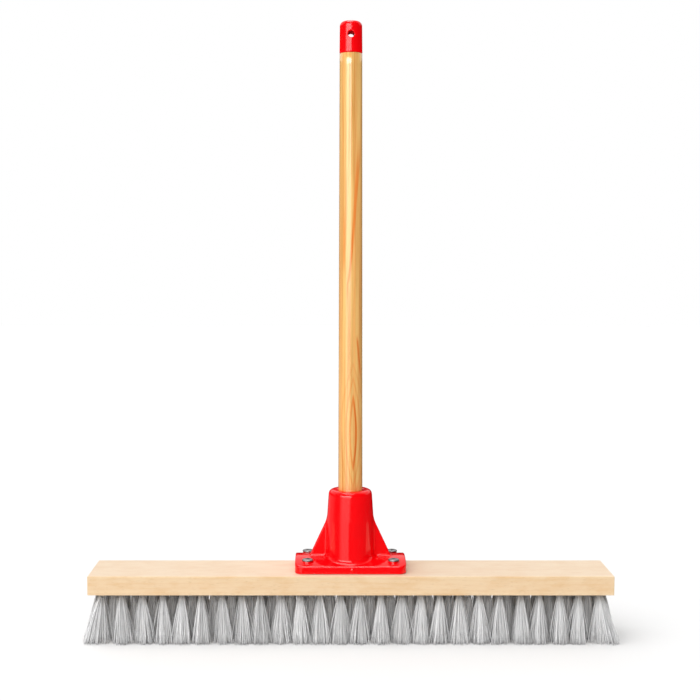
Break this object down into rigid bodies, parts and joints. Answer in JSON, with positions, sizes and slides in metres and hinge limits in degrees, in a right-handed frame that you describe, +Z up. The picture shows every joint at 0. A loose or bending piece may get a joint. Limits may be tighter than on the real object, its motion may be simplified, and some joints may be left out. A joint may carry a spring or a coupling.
{
  "type": "push broom",
  "caption": "Push broom with a pale wooden block, four rows of grey bristle tufts, a red moulded bracket and a short varnished handle with a red cap.",
  "frame": {"origin": "on the floor under the middle of the block, at the bottom centre of the bounding box", "axes": "+X along the block, to the right seen from the front; +Y towards the rear; +Z up along the handle"},
  "size_m": [0.626, 0.0762, 0.7203],
  "materials": {
    "pale_wood": "satin",
    "varnished_pine": "gloss",
    "red_plastic": "gloss",
    "screw_steel": "satin",
    "grey_bristle": "satin"
  },
  "bodies": {
    "head": {"head_block": "pale_wood", "handle_bracket": "red_plastic", "bracket_screw_front_left": "screw_steel", "bracket_screw_front_right": "screw_steel", "bracket_screw_rear_left": "screw_steel", "bracket_screw_rear_right": "screw_steel", "tufts_front_1": "grey_bristle", "tufts_front_2": "grey_bristle", "tufts_front_3": "grey_bristle", "tufts_front_4": "grey_bristle", "tufts_front_5": "grey_bristle", "tufts_front_6": "grey_bristle", "tufts_front_7": "grey_bristle", "tufts_front_8": "grey_bristle", "tufts_front_9": "grey_bristle", "tufts_second_1": "grey_bristle", "tufts_second_2": "grey_bristle", "tufts_second_3": "grey_bristle", "tufts_second_4": "grey_bristle", "tufts_second_5": "grey_bristle", "tufts_second_6": "grey_bristle", "tufts_second_7": "grey_bristle", "tufts_second_8": "grey_bristle", "tufts_second_9": "grey_bristle", "tufts_third_1": "grey_bristle", "tufts_third_2": "grey_bristle", "tufts_third_3": "grey_bristle", "tufts_third_4": "grey_bristle", "tufts_third_5": "grey_bristle", "tufts_third_6": "grey_bristle", "tufts_third_7": "grey_bristle", "tufts_third_8": "grey_bristle", "tufts_third_9": "grey_bristle", "tufts_rear_1": "grey_bristle", "tufts_rear_2": "grey_bristle", "tufts_rear_3": "grey_bristle", "tufts_rear_4": "grey_bristle", "tufts_rear_5": "grey_bristle", "tufts_rear_6": "grey_bristle", "tufts_rear_7": "grey_bristle", "tufts_rear_8": "grey_bristle", "tufts_rear_9": "grey_bristle"},
    "shaft": {"handle": "varnished_pine", "handle_cap": "red_plastic"}
  },
  "joints": [
    {"name": "handle_pull_out", "type": "slide", "parent": "head", "child": "shaft", "axis": [0, 0, 1], "range_m": [0, 0.095]}
  ]
}
